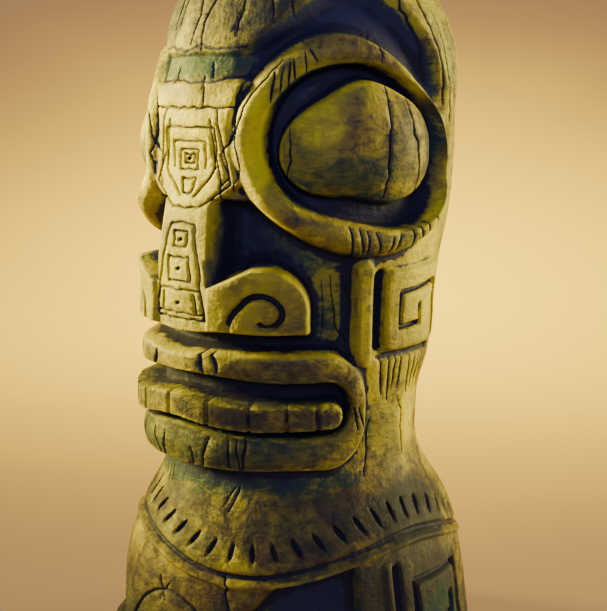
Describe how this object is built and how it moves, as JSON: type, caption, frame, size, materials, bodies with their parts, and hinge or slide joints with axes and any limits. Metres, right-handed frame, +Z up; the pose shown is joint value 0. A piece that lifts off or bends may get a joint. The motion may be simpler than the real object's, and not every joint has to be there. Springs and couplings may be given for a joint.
{
  "type": "ceramic tiki bust",
  "caption": "Cast ceramic bust carved like a log: domed head, ringed bulging eyes, flat nose, scrolled nostrils, wide toothed mouth, spiral ear panels and a notched collar over the chest.",
  "frame": {"origin": "on the flat underside, at the axis of the carved log", "axes": "+Z up the log, the face looks toward -Y, the bust's own left side is toward +X"},
  "size_m": [0.1406, 0.1397, 0.272],
  "materials": {
    "glaze": "satin"
  },
  "bodies": {
    "root": {"tiki_bust": "glaze"}
  },
  "joints": []
}
